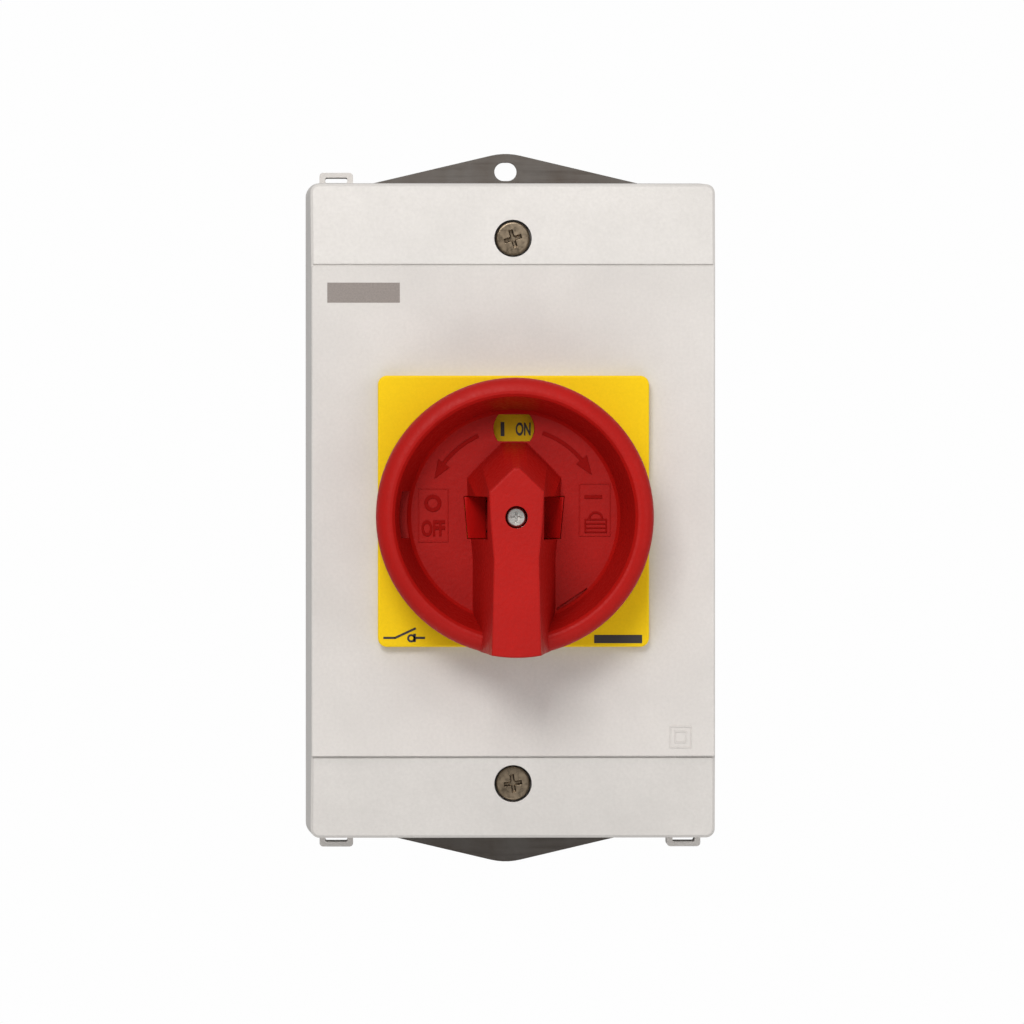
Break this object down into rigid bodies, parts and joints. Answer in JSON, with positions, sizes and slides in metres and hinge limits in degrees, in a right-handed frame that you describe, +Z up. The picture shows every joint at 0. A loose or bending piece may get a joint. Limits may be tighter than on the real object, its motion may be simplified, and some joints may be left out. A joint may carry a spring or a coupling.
{
  "type": "rotary isolator switch",
  "caption": "Wall-mounted enclosed rotary isolator: grey box with sloping ends, yellow plate, red lockable quarter-turn handle, and a driven contact block inside.",
  "frame": {"origin": "middle of the wall plate's rear face, on the handle's turning axis", "axes": "+Z up along the longer side of the box, +X right as seen from the front, the handle faces -Y and the wall is at Y = 0"},
  "size_m": [0.1, 0.139, 0.178],
  "materials": {
    "housing_grey": "light grey moulded thermoplastic, fine satin grain",
    "plate_yellow": "golden yellow moulded plastic, satin",
    "handle_red": "signal red moulded plastic, fine grain",
    "slide_red": "signal red moulded plastic, smooth",
    "bearing_black": "black filled nylon",
    "seal_black": "black sealing rubber",
    "cover_screw_nickel": "nickel-plated steel, slightly brown",
    "zinc_steel": "bright zinc-plated steel",
    "dark_steel": "dark passivated steel sheet",
    "spring_steel": "drawn spring steel",
    "terminal_brass": "machined brass",
    "contact_copper": null,
    "contact_silver": "silver contact alloy",
    "switch_black": "black switch moulding",
    "switch_grey": "grey switch moulding",
    "rotor_white": "natural white acetal",
    "neutral_blue": "blue terminal moulding",
    "earth_green": "green terminal moulding"
  },
  "bodies": {
    "enclosure": {"base_housing": "housing_grey", "cover": "housing_grey", "cover_gasket": "seal_black", "cover_screws": "cover_screw_nickel", "cover_screw_seals": "seal_black", "cover_screw_inserts": "terminal_brass", "wall_plate": "dark_steel", "wall_plate_screws": "zinc_steel", "mounting_plate": "zinc_steel", "mounting_plate_screws": "zinc_steel", "front_plate": "plate_yellow", "front_plate_gasket": "seal_black", "front_plate_screws": "zinc_steel", "switch_foot": "switch_black", "contact_block": "switch_grey", "latch_housing": "switch_black", "through_bolts": "zinc_steel", "switch_fixing_screws": "zinc_steel", "detent_springs": "spring_steel", "fixed_contact_tips": "contact_silver", "line_contacts": "contact_copper", "load_contacts": "contact_copper", "terminal_washers": "zinc_steel", "terminal_screws": "zinc_steel", "neutral_terminal_housing": "neutral_blue", "neutral_terminal_bar": "terminal_brass", "earth_terminal_housing": "earth_green", "earth_terminal_bar": "terminal_brass", "side_terminal_screws": "zinc_steel", "carrier_return_springs": "spring_steel"},
    "handle_group": {"handle": "handle_red", "handle_screw": "zinc_steel", "handle_bush": "bearing_black", "retaining_clip": "spring_steel", "shaft_seal": "seal_black", "drive_shaft": "zinc_steel", "shaft_coupling": "bearing_black", "coupling_set_screw": "zinc_steel", "rotor": "rotor_white", "detent_star": "rotor_white", "lock_slide_spring": "spring_steel"},
    "lock_slide_body": {"lock_slide": "slide_red"},
    "carrier_group": {"contact_carrier": "rotor_white", "follower_pins": "zinc_steel", "contact_bridges": "contact_copper", "moving_contact_tips": "contact_silver", "contact_springs": "spring_steel"}
  },
  "joints": [
    {"name": "handle_turn", "type": "hinge", "parent": "enclosure", "child": "handle_group", "pos_m": [0, -0.1, 0], "axis": [0, -1, 0], "range_deg": [0, 90], "deforming": ["detent_springs"]},
    {"name": "lock_slide_pull", "type": "slide", "parent": "handle_group", "child": "lock_slide_body", "axis": [0, -1, 0], "range_m": [0, 0.006], "stiffness_N_per_m": 500, "springref_m": -0.004, "deforming": ["lock_slide_spring"]},
    {"name": "carrier_travel", "type": "slide", "parent": "enclosure", "child": "carrier_group", "axis": [0, 1, 0], "range_m": [0, 0.003], "deforming": ["carrier_return_springs"]}
  ],
  "couplings": [
    {"joint": "carrier_travel", "follows": "handle_turn", "m_per_rad": 0.0019098}
  ]
}
